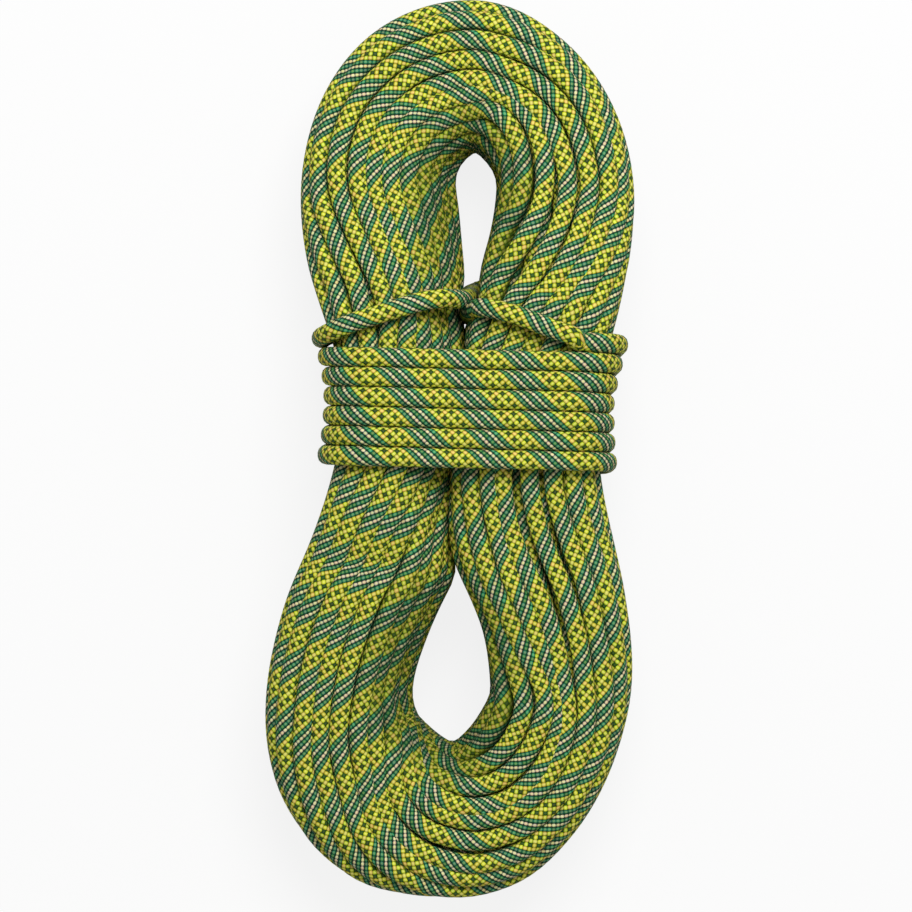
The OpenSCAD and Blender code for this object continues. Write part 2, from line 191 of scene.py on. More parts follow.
def new_material(name):
    """An empty material with its shader, and a start for its sums."""
    material = bpy.data.materials.new(name)
    material.use_nodes = True
    shader = material.node_tree.nodes["Principled BSDF"]
    return material, shader, Value(material.node_tree, None)


def relief(shader, height, strength, depth):
    """Gives the shader a relief that is depth high where height is 1."""
    bump = {"Strength": strength, "Distance": depth, "Height": height}
    height.node("ShaderNodeBump", inputs=bump).feed(shader, "Normal")


# Rows of yarn around the rope, which also fill one lead of the braid's spiral, and those of the striped band
ROWS = 10
BAND_ROWS = 5
# Leads added before rows are counted, so that no count is negative
AHEAD = 9000
# The map of the rope, and the attribute that weighs the painted shade of the laps that face into an eye
ROPE_MAP = "OFBake"
PAINTED_EYE_SHADE = "deep"


def braid(start, shader, colours, around, along, deep=None):
    """Colours the sheath. Around and along are 1 for one turn and for one lead of the spiral, and deep is 1
    where the laps face into an eye of the hank, where it darkens the colour as painted shade."""
    rows = (along - around) * ROWS + AHEAD * ROWS
    crosses = (along + around) * ROWS + AHEAD * ROWS
    row, cross = rows.math("FLOOR"), crosses.math("FLOOR")
    in_row, in_cross = (rows - row - 0.5) * 2, (crosses - cross - 0.5) * 2
    row, cross = (row + 0.5) % ROWS - 0.5, (cross + 0.5) % ROWS - 0.5
    odd_row, odd_cross = row % 2, cross % 2
    band = row < BAND_ROWS - 0.5
    # A yarn of the row lies on top where both counts are even or both odd
    row_on_top = 1 - abs(odd_row - odd_cross)
    field = row_on_top.mix(colours.yellow, odd_row.mix(colours.dot, colours.gold))
    stripe = odd_row.mix(colours.green, colours.tan)
    dot = row_on_top * (1 - odd_row) * (1 - band)

    def chance(seed, out):
        """A number, out 0, or a colour, out 1, by chance for each yarn."""
        yarn = start.node("ShaderNodeCombineXYZ", inputs={0: row, 1: cross, 2: seed})
        return start.node("ShaderNodeTexWhiteNoise", {"noise_dimensions": "3D"}, {"Vector": yarn}, out)
    # Yarns differ a little in brightness and in tint
    light = start.node("ShaderNodeHueSaturation", inputs={
        "Color": band.mix(field, stripe),
        "Value": 0.84 + chance(3.7, 0) * 0.3 + band * (row_on_top - 1) * 0.2})
    tinted = start.node("ShaderNodeMix", {"data_type": "RGBA", "blend_type": "SOFT_LIGHT"},
                        {0: 0.36, 6: light, 7: chance(9.1, 1)}, out=2)
    # Height of a yarn: round across, and drawn down at the ends where it goes under
    lies_along = row_on_top.math("MAXIMUM", row_on_top, band)
    across = in_row * lies_along + in_cross * (1 - lies_along)
    endways = in_cross * lies_along + in_row * (1 - lies_along)
    slim = 0.8 + band * (0.3 + 0.3 * odd_row)
    top = 1 - across * across * slim - endways * endways * (0.5 + 0.3 * band)
    fibres = (across * 10.5 + endways * 1.6).math("SINE")
    groove = (top + fibres * 0.05).step(-0.1, 0.68)
    if deep is not None:
        # Painted shade: the sides that press on their neighbours are darker, and the outward side, at 0, is
        # free
        pressed = (around * math.tau).math("COSINE").step(-0.2, 0.3, 0.3)
        # Painted shade in the eyes: where deep is 1, the colour goes further toward the dark groove colours
        groove = groove * pressed * (1 - deep * 0.45)
    # Painted highlight on the crowns, weaker on the band's dark rows and almost gone on the dots
    crown_highlight = (top + fibres * 0.12).step(0.52, 1.06, 0.0, 0.58 - 0.4 * band * (1 - odd_row) - 0.52 * dot)
    base = groove.mix(band.mix(colours.groove, colours.shade), crown_highlight.mix(tinted, colours.crown_highlight))
    base.feed(shader, "Base Color")
    (0.62 + (1 - groove) * 0.3).feed(shader, "Roughness")
    relief(shader, top.math("MAXIMUM", top, -0.3) + fibres * 0.05, 0.7, 0.45 * MM)
    shader.inputs["Specular IOR Level"].default_value = 0.15


# ---- Route of the rope: the same lobes, eyes and section as the solids ----

# Edges of the eyes, from the middle of the neck to the widest place: share of the way, mm across
UPPER_EYE_LEFT = ((0, 8), (0.3, 7.8), (0.36, 7.4), (0.41, 5.6), (0.5, 5.8), (0.55, 7.8), (0.62, 7.3),
                  (0.69, 6.7), (0.79, 5.8), (0.91, 4.7))
UPPER_EYE_RIGHT = ((0, 8), (0.3, 7.8), (0.37, 8), (0.42, 14.5), (0.5, 15.4), (0.55, 16), (0.64, 16.9),
                   (0.7, 19), (0.79, 21.7), (0.88, 23.6))
LOWER_EYE_LEFT = ((0, 8), (0.25, 0.9), (0.43, -0.4), (0.52, 1.1), (0.59, 4.6), (0.67, -2.1), (0.78, -9.6),
                  (0.87, -14.5), (0.93, -17.8))
LOWER_EYE_RIGHT = ((0, 8), (0.25, 0.9), (0.43, -0.4), (0.52, 1.1), (0.59, 4.6), (0.66, 10), (0.72, 13.4),
                   (0.77, 16.7), (0.83, 18.9), (0.9, 20.5))
# Ends of the eyes: degrees from the right side, mm along the hank
UPPER_EYE_END = ((0, 137), (30, 144.3), (60, 150.2), (80, 154.2), (92, 156.2), (105, 154.4), (120, 152),
                 (150, 146), (180, 137))
LOWER_EYE_END = ((0, -125), (30, -131.5), (60, -144.5), (75, -150), (84, -153.4), (90, -152.4), (105, -149.7),
                 (120, -146.2), (150, -137.8), (180, -125))
# How far the laps stand out from an even outline: station, mm to the right
BULGES = ((0, 0), (2, -0.5), (3, -0.5), (4, -1.5), (5, -3.6), (6, 0), (7, -2.3), (8, -1.3), (9, 0.3),
          (10, 1.3), (11, 3.4), (11.5, 3.4), (12, 0), (12.5, 1), (13, 2.3), (13.5, 4.7), (14, 3.9),
          (14.5, 4.2), (15, 2.3), (15.5, -2), (16, -5.7), (16.8, -8.8), (17.3, -12), (17.7, -9.5),
          (18, -5.5), (18.3, -3), (18.8, -0.8), (19.3, -4.2), (20, -4.9), (20.5, -4.2), (21, -1.6),
          (22, -0.8), (23, -2), (24, 0))
# How the laps roll around their bundle: station, places moved on
ROLL = ((0, 0), (0.9, 0.9), (2.2, 0.9), (3.3, 1.3), (4.7, 1.6), (6, 1.6), (9, 1.5), (10.3, 0.7), (11.1, 0.6),
        (12.8, 2.45), (14, 2.5), (15.2, 2.55), (16, 3.6), (17, 5.4), (18, 7.1), (18.5, 7.8), (19.5, 8.6),
        (20.5, 8.5), (21, 8.3), (23.1, 8.05), (24, 9))
# Lines where one group of laps lies a little above the next: how deep, and mm along the top of the hank
CREASES = (
    (0.3, ((77.5, 119), (77, 137), (73.4, 158), (69, 167), (62.3, 179), (55.2, 186), (46, 193.5),
           (38.4, 197), (25.7, 202), (13, 203.4), (2.9, 201.6), (-7.3, 197))),
    (0.3, ((67, 119), (66.5, 137), (62.3, 155.5), (57.7, 165), (50.5, 175), (43, 181.5), (33.3, 187.6),
           (25.7, 191), (13, 192), (2.9, 191))),
    (1, ((43.5, 134), (44, 144), (43, 153), (41, 162), (38.4, 168), (35.4, 171.6))),
    (1, ((20.7, 98.6), (25.7, 110), (29.8, 119), (32.3, 129), (33.3, 139), (32.8, 149))),
    (1, ((-24, 197.5), (-31, 191.4), (-40, 180), (-46.3, 171), (-50, 162), (-52.4, 152), (-53, 141),
         (-52, 131.6), (-49.4, 124), (-44.3, 114), (-40, 106), (-36, 100))),
    (1, ((-8.8, -10.5), (-15, -31), (-24, -51), (-32.6, -71.4), (-39, -91.7), (-45.3, -107), (-49, -127),
         (-52.4, -142.4), (-52, -152.6), (-46.3, -173), (-44.3, -188))),
    (1, ((-12.3, -188), (-4.7, -192), (10.5, -194.7), (28.3, -193), (41, -187), (50, -178), (58.7, -165),
         (62.8, -150), (64.8, -137), (64.3, -127), (61.2, -112), (56.2, -97), (48.6, -79), (43.5, -66.3),
         (36, -51), (31, -36), (25.7, -13))),
    (1, ((-12.3, -202), (0.4, -206), (20.7, -207), (36, -201), (46, -193))),
    (1, ((-19, -169), (-9.8, -173), (2.9, -177), (15.6, -179.5), (31, -175.4), (41, -165), (48.6, -155),
         (54, -140))),
    (1, ((26.7, -66.3), (21.7, -48.6), (17.6, -31), (15.6, -10.5))),
    (2.6, ((-25.2, -76.9), (-28.2, -87.1), (-30.3, -97.3), (-30.8, -109.5), (-31.3, -121.8), (-29.3, -127.9),
           (-25.2, -137.1), (-21.1, -144.2), (-17, -153.4))),
    (1, ((69, -86.6), (66.3, -71.4), (61.2, -56), (53.6, -36), (50, -20.7))),
)
# Stations around the hank: in all, on each run between the neck and a lobe's widest place, and on each bow
STATIONS, RUN, BOW = 24, 3, 6
NECK_LEFT = STATIONS // 2
# Grid steps in a station, and around the hank
FINE = 16
GRID = STATIONS * FINE
GRID_STATIONS = np.arange(GRID) / FINE
# Slices across a bundle in which real distances are measured
SLICES = 8
# Station up to which the bundle leans into the lower eye, and grid steps over which a lean comes and goes
LEAN_ENDS = 17.6
LEAN_REACH = 40
QUARTER = math.pi / 2


def smooth(value):
    """A soft step from 0 to 1."""
    value = np.clip(value, 0, 1)
    return value * value * (3 - 2 * value)


def unit(vectors):
    """The vectors at length 1."""
    return vectors / np.linalg.norm(vectors, axis=1)[:, None]


def from_neck(at):
    """How many stations away the nearest side of the neck is."""
    return np.minimum(at % NECK_LEFT, NECK_LEFT - at % NECK_LEFT)


def averaged(padded, reach):
    """A running mean over reach rows on both sides, which padded has to spare."""
    weights = np.hanning(2 * reach + 3)[1:-1]
    weights /= weights.sum()
    return np.column_stack([np.convolve(column, weights, "valid") for column in padded.T])


def evened(values, reach):
    """A running mean over a closed row of points."""
    return averaged(np.concatenate([values[-reach:], values, values[:reach]]), reach)


def softened(values, reach):
    """A running mean over an open row of points; its ends stay."""
    first, final = 2 * values[0] - values[reach:0:-1], 2 * values[-1] - values[-2:-reach - 2:-1]
    return averaged(np.concatenate([first, values, final]), reach)


class Hank:
    """Places on the two lobed bundles. Stations count from the neck's right side, counterclockwise."""

    def __init__(self, sizes):
        self.sizes = sizes
        self.half = sizes.rope_d / 2
        self.neck_lift = sizes.rope_d + sizes.under_gap
        self.corner = 17 * MM
        self.outer, self.inner = self.edge(True), self.edge(False)
        solid_width = self.across_table()[:, -1]
        at = GRID_STATIONS
        bulge = np.interp(at, *np.array(BULGES).T) * MM
        self.outer[:, 0] += evened(bulge[:, None], 6)[:, 0]
        self.inner = self.eye_edge()
        self.table = self.across_table()
        width = self.table[:, -1]
        self.span = width - sizes.rope_d
        # A bundle that spreads into an eye sinks, and its laps open a little
        width_and_height = sizes.section_round / 2 + (4 - math.pi) * self.corner
        self.rise = width_and_height - (solid_width - sizes.rope_d) - (width - solid_width) / 2
        # The lowest laps are pressed flat, and the neck stands free of the waist turns under it
        raised = np.interp(from_neck(at), range(7), (1, 1, 1, 0.45, 0.15, 0, 0))
        pressed = sizes.rope_d / 10
        self.base = self.half - pressed + (self.neck_lift + pressed) * raised
        # Where the bundle leans into an eye: on the left of the upper lobe and of the lower one
        lean = ((at > RUN + BOW / 2) & (at <= LEAN_ENDS)).astype(float)
        padded = np.concatenate([lean[-LEAN_REACH:], lean, lean[:LEAN_REACH]])
        count = 2 * LEAN_REACH + 1
        self.lean = np.convolve(padded, np.ones(count) / count, "valid")

    @staticmethod
    def fold():
        """For each grid station: whether it is on the upper lobe and on the right side, how far it is along
        a run and along a bow, and whether it is on a bow."""
        up = GRID_STATIONS <= NECK_LEFT
        past = np.where(up, GRID_STATIONS, STATIONS - GRID_STATIONS)
        run = np.clip(from_neck(past) / RUN, 0, 1)
        bow = np.clip((past - RUN) / BOW, 0, 1)
        return up, past < NECK_LEFT / 2, run, bow, (bow > 0) & (bow < 1)

    def edge(self, outer):
        """The even outer or inner edge of the laps, as on the solids."""
        up, right, run, bow, on_bow = self.fold()
        s = self.sizes

        def pick(upper, lower):
            return np.where(up, upper, lower)
        if outer:
            half, middle = pick(s.upper_w, s.lower_w) / 2, pick(s.upper_x, 0)
            wide, tip = pick(s.upper_y, s.lower_y), pick(s.hank_l, -s.hank_l) / 2
            power, neck = pick(1.2, 2.0), s.neck_w / 2
        else:
            half, middle = pick(s.upper_eye_w, s.lower_eye_w) / 2, pick(s.upper_eye_x, s.lower_eye_x)
            wide, tip = pick(s.upper_eye_y, s.lower_eye_y), pick(s.upper_eye_top, s.lower_eye_end)
            power, neck = pick(1.6, 1.8), 0.4 * MM
        side = np.where(right, 1, -1)
        blend = np.sin(run * QUARTER) ** power
        from_x = s.neck_x + side * neck
        run_x = from_x + blend * (middle + side * half - from_x)
        run_y = s.neck_y + run * (wide - s.neck_y)
        bow_x = middle + half * np.cos(bow * math.pi)
        bow_y = wide + (tip - wide) * np.sin(bow * math.pi)
        return np.stack([np.where(on_bow, bow_x, run_x), np.where(on_bow, bow_y, run_y)], 1)

    def eye_edge(self):
        """Inner edge of the laps: pressed together below the waist, and open in the two eyes."""
        up, right, run, bow, on_bow = self.fold()
        s = self.sizes

        def side(points, end):
            shares, places = zip(*points)
            return np.interp(run, [*shares, 1], [*(place * MM for place in places), end])
        upper_left = side(UPPER_EYE_LEFT, s.upper_eye_x - s.upper_eye_w / 2)
        upper_right = side(UPPER_EYE_RIGHT, s.upper_eye_x + s.upper_eye_w / 2)
        lower_left = side(LOWER_EYE_LEFT, s.lower_eye_x - s.lower_eye_w / 2)
        lower_right = side(LOWER_EYE_RIGHT, s.lower_eye_x + s.lower_eye_w / 2)
        x = np.where(up, np.where(right, upper_right, upper_left), np.where(right, lower_right, lower_left))
        # The two bundles press on each other near the neck
        x += np.where(right, -0.4, 0.4) * smooth((0.7 - run) * 8) * MM
        ends = [np.interp(bow * 180, *np.array(end).T) * MM for end in (UPPER_EYE_END, LOWER_EYE_END)]
        y = np.where(on_bow, np.where(up, *ends), self.inner[:, 1])
        return evened(np.stack([np.where(on_bow, self.inner[:, 0], x), y], 1), 3)

    def across_table(self):
        """For each grid station, the real distance from the inner edge to the end of each slice."""
        whole = self.outer - self.inner
        reach = []
        for share in np.linspace(0, 1, SLICES + 1):
            line = self.inner + share * whole
            on = unit(np.roll(line, -1, 0) - np.roll(line, 1, 0))
            reach.append(np.abs(on[:, 0] * whole[:, 1] - on[:, 1] * whole[:, 0]))
        reach = np.array(reach).T
        parts = (reach[:, 1:] + reach[:, :-1]) / 2 / SLICES
        return np.concatenate([np.zeros((GRID, 1)), np.cumsum(parts, 1)], 1)

    def section(self, cell, inset, share):
        """Points around the section in grid cells, share of the way from the middle of its eye side and
        inset from its edge. Gives the distance across, the height and both parts of the outward normal."""
        lean = self.lean[cell]
        width, height = self.span[cell] - 2 * inset, self.rise[cell] - 2 * inset
        width = np.maximum(width, 1 * MM)
        # The corners: at the eye above, outside above, outside below, at the eye below
        radii = np.stack([16 + 16 * lean, 18 - 2 * lean, 17 - 4 * lean, 17 - 5 * lean]) * MM
        radii = np.clip(radii - inset, 0.5 * MM, None)
        most = np.stack([0.5 + 0.12 * lean, 0.499 + 0 * lean, 0.499 + 0 * lean, 0.499 - 0.15 * lean])
        eye, outside, outside_low, eye_low = np.minimum(radii, np.minimum(width, height) * most)
        # The corner at the eye is round, or a steep wall with a tighter bend above it where the bundle leans
        ways = np.linspace(0, 1, 101)
        tilt = 0.3 * smooth(ways / 0.12) + 0.7 * smooth((ways - 0.52) / 0.48)
        wall = np.cumsum([np.sin(tilt * QUARTER), np.cos(tilt * QUARTER)], 1) / 101

        def leaned(upright, leaning):
            """A value of the round corner, or that of the wall where the bundle leans."""
            return (1 - lean) * upright + lean * QUARTER * leaning
        deep, high = (eye * leaned(1, axis[-1]) for axis in wall)
        sides = [
            height - eye_low - high, eye * QUARTER,
            width - deep - outside, outside * QUARTER,
            height - outside - outside_low, outside_low * QUARTER,
            width - outside_low - eye_low, eye_low * QUARTER,
        ]
        whole = sum(sides)
        way = ((share % 1) * whole + height / 2 - eye_low) % whole
        start = np.cumsum([np.zeros_like(width)] + sides, 0)
        part = np.clip((way >= start[1:-1]).sum(0), 0, 7)
        way = way - np.take_along_axis(start, part[None], 0)[0]

        def arc(x, y, radius, angle):
            return x + radius * np.cos(angle), y + radius * np.sin(angle), np.cos(angle), np.sin(angle)

        def eye_corner():
            done = np.clip(way / (eye * QUARTER), 0, 1)
            angle = leaned(done * QUARTER, np.interp(done, ways, tilt))
            x = leaned(1 - np.cos(done * QUARTER), np.interp(done, ways, wall[0]))
            y = leaned(np.sin(done * QUARTER), np.interp(done, ways, wall[1]))
            return eye * x, height - high + eye * y, -np.cos(angle), np.sin(angle)
        one, nil = np.ones_like(width), np.zeros_like(width)
        found = [
            (nil, eye_low + way, -one, nil),
            eye_corner(),
            (deep + way, height, nil, one),
            arc(width - outside, height - outside, outside, QUARTER - way / outside),
            (width, height - outside - way, one, nil),
            arc(width - outside_low, outside_low, outside_low, -way / outside_low),
            (width - outside_low - way, nil, nil, -one),
            arc(eye_low, eye_low, eye_low, -QUARTER - way / eye_low),
        ]
        return [np.choose(part, [side[i] for side in found]) for i in range(4)]

    def place(self, at, inset, share, lift):
        """Points and outward normals in space for stations at; lift moves them outwards."""
        cell = np.round(at * FINE).astype(int) % GRID
        across, up, n_across, n_up = self.section(cell, inset, share)
        across = across + inset + n_across * lift
        up = up + inset + n_up * lift
        # The slice that this distance across ends in, and the share of the way across
        reach = self.half + across
        table = self.table[cell]
        part = np.clip((table <= reach[:, None]).sum(1) - 1, 0, SLICES - 1)
        low = np.take_along_axis(table, part[:, None], 1)[:, 0]
        high = np.take_along_axis(table, part[:, None] + 1, 1)[:, 0]
        way = (part + (reach - low) / (high - low)) / SLICES
        whole = self.outer[cell] - self.inner[cell]
        point = self.inner[cell] + whole * way[:, None]
        normal = np.column_stack([unit(whole) * n_across[:, None], n_up])
        return np.column_stack([point, self.base[cell] + up]), normal


def ripple(count, seed, waves):
    """A slow random wave of height 1 over count grid steps."""
    knots = np.random.default_rng(seed).uniform(-1, 1, waves + 3)
    way = np.linspace(1, waves + 1, count)
    knot = np.floor(way).astype(int)
    part = smooth(way - knot)
    return knots[knot] * (1 - part) + knots[np.minimum(knot + 1, waves + 2)] * part


# Stations where the rope starts, where it has gone down to the inner laps, and where the outer layer ends
TAIL, INNER, LAST = 14, 17.5, 20.5
# The rings of inner laps: how deep they lie under the outer layer in mm, and their laps
RINGS = ((26.5, 4), (18.6, 13), (9.3, 19))


def lap_route(hank, sizes):
    """Inner end first: into the core of inner laps, then out to the outer layer. Gives the points, their
    outward normals and whether they lie in the outer layer."""
    last = STATIONS * (sizes.laps - 1) + LAST
    place = 1 / sizes.laps
    station, moved = np.array(ROLL).T
    drift = np.interp(GRID_STATIONS, station, moved) / moved[-1] - GRID_STATIONS / STATIONS
    drift = evened(drift[:, None], 10)[:, 0]

    def rolled(at):
        """Laps gone at a station, as the uneven roll counts them."""
        return at / STATIONS + drift[np.round(at * FINE).astype(int) % GRID]

    def spread(at):
        """How much further around the section the laps lie on a lobe than at the neck."""
        return 14 * MM / sizes.section_round * smooth(from_neck(at) / RUN)

    def outer_share(at):
        """Share around the section where the rope lies in the outer layer."""
        start = np.array(float(TAIL))
        return 0.75 + sizes.roll * place * (rolled(at) - rolled(start)) + spread(at) - spread(start)

    # Tail: along its slot, then down to the innermost laps
    tail = np.arange(TAIL * FINE, int(INNER * FINE)) / FINE
    previous = RINGS[0][0] * MM
    parts = [(tail, smooth((tail - 15.2) / 2.2) * previous, outer_share(tail))]
    at, share = INNER, parts[0][2][-1]
    for depth, laps in RINGS:
        ring = at + np.arange(laps * GRID) / FINE
        down = previous + (depth * MM - previous) * smooth((ring - at) / 1.5)
        parts.append((ring, down, share + (ring - at) / STATIONS / laps))
        at, share, previous = ring[-1] + 1 / FINE, parts[-1][2][-1], depth * MM
    # Out to the outer layer, which starts where the tail went down
    ring = INNER + np.arange(int((last - INNER) * FINE)) / FINE
    out = smooth((ring - INNER) / 1.6)
    goal = outer_share(ring)
    gap = share - goal[0]
    gap -= np.round(gap)
    parts.append((ring, (1 - out) * previous, goal + gap * (1 - out)))
    stations, inset, share = (np.concatenate(column) for column in zip(*parts))
    # The outer laps lie a little unevenly
    waves = len(stations) // GRID
    outer = np.clip(1 - inset / (9 * MM), 0, 1)
    lift = outer * (0.9 * ripple(len(stations), 5, waves * 5) - 0.3) * MM
    share = share + outer * 0.7 * MM / sizes.section_round * ripple(len(stations), 8, waves * 6)
    cell = np.round(stations * FINE).astype(int) % GRID
    found = creases(hank, sizes, outer_share(GRID_STATIONS))

    def away(crease):
        """How far the rope lies from a crease at each point, in laps."""
        return ((share - crease[cell] + 0.5) % 1 - 0.5) * sizes.laps
    # The seam nearest to each crease is pulled onto it, and then opened there
    pull, weight = 0, 0.15
    for crease, off, near, _ in found:
        force = near[cell] / (away(crease - off * place) ** 2 + 0.15)
        pull, weight = pull + force * off[cell], weight + force
    share = share + outer * place * pull / weight
    for crease, _, _, strength in found:
        side, here = away(crease), strength[cell] * outer
        reach = np.exp(-abs(side) / 1.5) * here
        share = share + reach * 0.7 * MM / sizes.section_round * side / (abs(side) + 0.2)
        lift = lift + reach * 0.7 * MM * side / (abs(side) + 0.25)
    return *hank.place(stations, inset, share, lift), outer > 0.3


def creases(hank, sizes, laps_at):
    """For each crease: its share around the section, how far the nearest seam is off, in places, where the
    seam follows it and where it is open."""
    shares = np.linspace(0, 0.55, 200)
    at = GRID_STATIONS
    top = np.stack([hank.place(at, 0 * at, share + 0 * at, 0 * at)[0][:, :2] for share in shares], 1)
    found = []
    for depth, line in CREASES:
        way = np.linspace(0, len(line) - 1, 90)
        points = np.column_stack([np.interp(way, range(len(line)), values) for values in zip(*line)]) * MM
        closest = [np.linalg.norm(top - point, axis=2).argmin() for point in points]
        cell, part = np.unravel_index(closest, top.shape[:2])
        order = np.argsort(cell, kind="stable")
        first, last = at[cell.min()], at[cell.max()]
        held = slice(cell.min(), cell.max() + 1)
        off = np.interp(at[held], at[cell[order]], shares[part[order]]) - laps_at[held]
        off = softened(off[:, None], min(10, len(off) // 3))[:, 0] * sizes.laps - 0.5
        seam = np.round(np.median(off))
        off = np.clip(np.interp(at, at[held], off - seam), -0.7, 0.7)
        crease = laps_at + (seam + 0.5 + off) / sizes.laps
        near = smooth((at - first + 1.3) / 1.5) * smooth((last + 1.3 - at) / 1.5)
        strength = smooth((at - first + 0.2) / 0.7) * smooth((last + 0.2 - at) / 0.7) * depth
        found.append((crease, off, near, strength))
    return found


# Distance between the points of the route
STEP = 2 * MM
WAIST_TURNS = 6


def turn_route(hank, sizes):
    """Six turns and a half around the neck, from below on the right, up and back over the top. Gives the
    points, their outward normals and the length of a turn."""
    half, corner = hank.half, hank.corner
    on_right = (GRID_STATIONS <= 2) | (GRID_STATIONS >= STATIONS - 2)
    on_left = (GRID_STATIONS >= NECK_LEFT - 2) & (GRID_STATIONS <= NECK_LEFT + 2)
    tops = hank.base + hank.rise
    radius = corner + sizes.cross_d
    flat = sizes.neck_w - sizes.rope_d - 2 * corner
    side = tops[0] - half - hank.neck_lift - 2 * corner
    arc = QUARTER * radius
    turn = 2 * (flat + side) + 4 * arc
    first_y = sizes.waist_y - sizes.turn_pitch * WAIST_TURNS / 2 - sizes.turn_pitch * (arc + side / 2) / turn
    # The first turn starts 12 mm early, under the neck
    way = np.arange(-12 * MM, WAIST_TURNS * turn + 2 * arc + side - STEP, STEP)
    y = first_y + sizes.turn_pitch * way / turn

    def beside(cells, values):
        """A value of the neck, on one of its sides, next to each point of the turns."""
        along = hank.outer[cells, 1]
        order = np.argsort(along)
        return np.interp(y, along[order], values[cells][order])
    right = beside(on_right, hank.outer[:, 0]) - half - corner
    left = beside(on_left, hank.outer[:, 0]) + half + corner
    top_right = beside(on_right, tops) - corner
    top_left = beside(on_left, tops) - corner
    # The parts of a turn: right below, up, over, back to the left, over, down, under and back to the right
    starts = np.cumsum([0, arc, side, arc, flat, arc, side, arc, flat])
    part = np.clip(np.searchsorted(starts, way % turn, side="right") - 1, 0, 7)
    done = (way % turn - starts[part]) / np.diff(starts)[part]
    # Quarters that the outward side has turned before each part; every other part is a bend
    angle = (np.array([-1, 0, 0, 1, 1, 2, 2, -1])[part] + np.where(part % 2 == 0, done, 0)) * QUARTER
    low = half + hank.neck_lift - sizes.cross_d + radius + 0 * done
    middle_x = np.choose(part, [
        right, right, right, right + (left - right) * done,
        left, left, left, left + (right - left) * done])
    middle_z = np.choose(part, [
        low, low + (top_right - low) * done, top_right, top_right + (top_left - top_right) * done,
        top_left, top_left + (low - top_left) * done, low, low])
    normals = np.column_stack([np.cos(angle), 0 * y, np.sin(angle)])
    points = np.column_stack([middle_x, y, middle_z]) + radius * normals
    return points, normals, turn


# Free stretches of the rope in mm: under the hank, and through the upper eye and around its left bundle
LEAD_IN = ((66, -100, 9.5), (55, -84, 7), (45, -67, 6), (37, -52, 5.6), (32, -40, 5.6), (31, -30, 5.8),
           (33, -21, 6), (38, -14.5, 6.2))
LOCK_TUCK = (
    (66, 56.5, 105.6), (57, 59.3, 105.8), (47, 63.1, 105.6), (38, 66.6, 104.8), (29, 69.6, 103.2),
    (21, 71.6, 99.6), (15, 72.2, 93), (11.4, 71.3, 84), (10.2, 70.2, 72), (10.1, 70, 56), (10.1, 70, 40),
    (9.4, 70.4, 26), (3.8, 71.2, 13.5), (-8, 71.5, 6.6), (-26, 70, 5.8), (-40, 67.5, 6), (-47, 65.6, 6.8),
    (-54, 63.6, 9.7), (-60.6, 61.2, 16), (-65, 59.2, 24.5), (-66, 58, 36), (-66, 57.4, 55), (-65.8, 57.2, 74),
    (-63.8, 58.2, 88), (-58, 60.6, 97.4), (-48, 64.7, 101.6), (-37, 68.2, 102.6), (-27.6, 70.9, 102.6),
    (-18, 74, 102.2), (-9, 76.2, 100.4), (-2.5, 76.8, 96.4), (2.8, 76.6, 90), (6.6, 76.8, 81),
    (8.8, 77.6, 70), (9.8, 79, 58), (10.6, 80.4, 46), (12.4, 81.8, 30), (17.4, 84.4, 18), (25.3, 86.2, 9.8),
    (35, 86.8, 6.4), (46, 87, 5.7), (56, 87, 5.7))


def curved(points):
    """A smooth curve through all points but the first and the last, which only give its direction."""
    p, t = np.array(points), np.linspace(0, 1, 12, endpoint=False)[:, None]
    parts = []
    for a, b, c, d in zip(p, p[1:], p[2:], p[3:]):
        parts.append(0.5 * (2 * b + (c - a) * t + (2 * a - 5 * b + 4 * c - d) * t ** 2
                            + (3 * (b - c) + d - a) * t ** 3))
    return np.concatenate(parts + [p[-2:-1]])


def distances(points):
    """How far each point is along its line."""
    return np.concatenate([[0], np.cumsum(np.linalg.norm(np.diff(points, axis=0), axis=1))])


def resampled(points, normals):
    """The same line with a point every step, and its normals."""
    along = distances(points)
    at = np.linspace(0, along[-1], max(2, int(round(along[-1] / STEP)) + 1))
    return [np.column_stack([np.interp(at, along, axis) for axis in rows.T]) for rows in (points, normals)]


def middle(node):
    """The middle of a node's box."""
    return np.mean(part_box(node), axis=0)


def tail_end(end):
    """Where a rope end's sheath stops, and the direction from its seal to there."""
    seal = middle(end + "seal")
    verts = np.array([vert.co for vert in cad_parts[end + "sheath"].data.vertices])
    onward = verts.mean(0) - seal
    onward /= np.linalg.norm(onward)
    return seal + onward * ((verts - seal) @ onward).max(), onward


# Stretches of the rope: route steps between rings, how square the pressed rope is, and its half width in mm
INNER_LAPS, OUTER_LAPS, LEAD, TURNS, TUCK = range(5)
RING_STEPS = (13, 3, 2, 2, 2)
SQUARE = (2.0, 2.4, 2.2, 2.35, 2.1)
HALF_WIDTH = (4.9, 4.98, 4.9, 5.0, 4.95)
# Sides of the tube
SIDES = 16
# Leads of the braid's spiral in a waist turn and up to the tuck, so that the turns' bands lie side by side
TURN_LEADS = 13.79
TUCK_LEAD = 0.557


